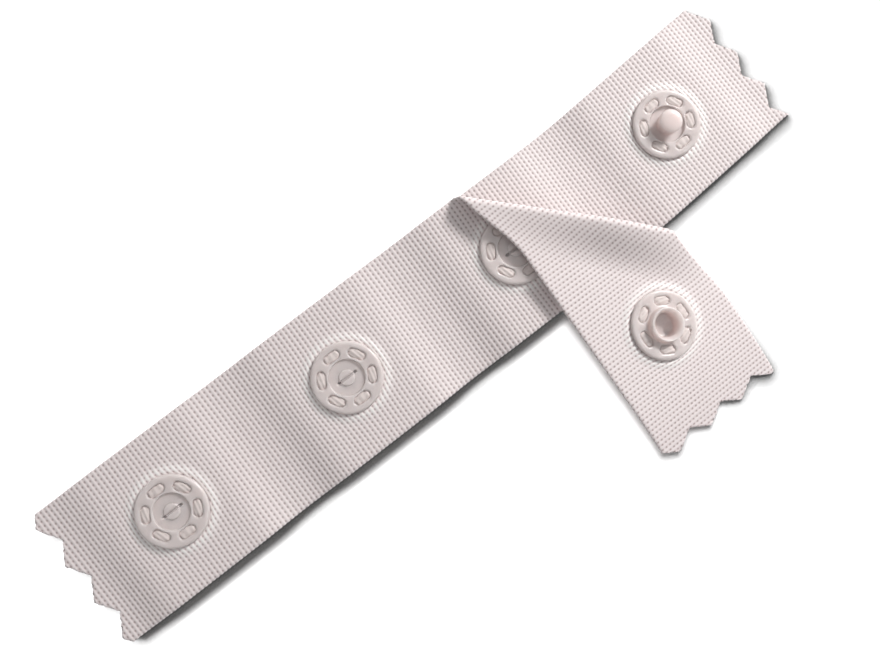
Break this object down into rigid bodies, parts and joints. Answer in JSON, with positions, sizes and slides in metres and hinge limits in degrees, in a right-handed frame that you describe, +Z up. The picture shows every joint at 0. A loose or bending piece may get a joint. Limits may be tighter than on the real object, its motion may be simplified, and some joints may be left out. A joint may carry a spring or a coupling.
{
  "type": "snap tape",
  "caption": "Woven snap tape: a stud tape and a socket tape pressed together by moulded plastic snaps, one end peeled back in a diagonal fold.",
  "frame": {"origin": "on the table under the middle of the whole laid-out outline", "axes": "+X along the snapped strip from its pinked end to the open end, +Z up off the table, the folded end lies toward -Y"},
  "size_m": [0.1042, 0.0434, 0.0059],
  "materials": {
    "tape": "plain woven polyester tape with cross ribs",
    "snap": "natural milky translucent moulded plastic"
  },
  "bodies": {
    "stud_side": {"stud_tape": "tape", "stud_1": "snap", "stud_2": "snap", "stud_3": "snap", "stud_4": "snap"},
    "socket_side": {"socket_tape": "tape", "socket_1": "snap", "socket_2": "snap", "socket_3": "snap", "socket_4": "snap"}
  },
  "joints": [
    {"name": "unsnap", "type": "slide", "parent": "stud_side", "child": "socket_side", "axis": [0, 0, 1], "range_m": [0, 0.006]}
  ]
}
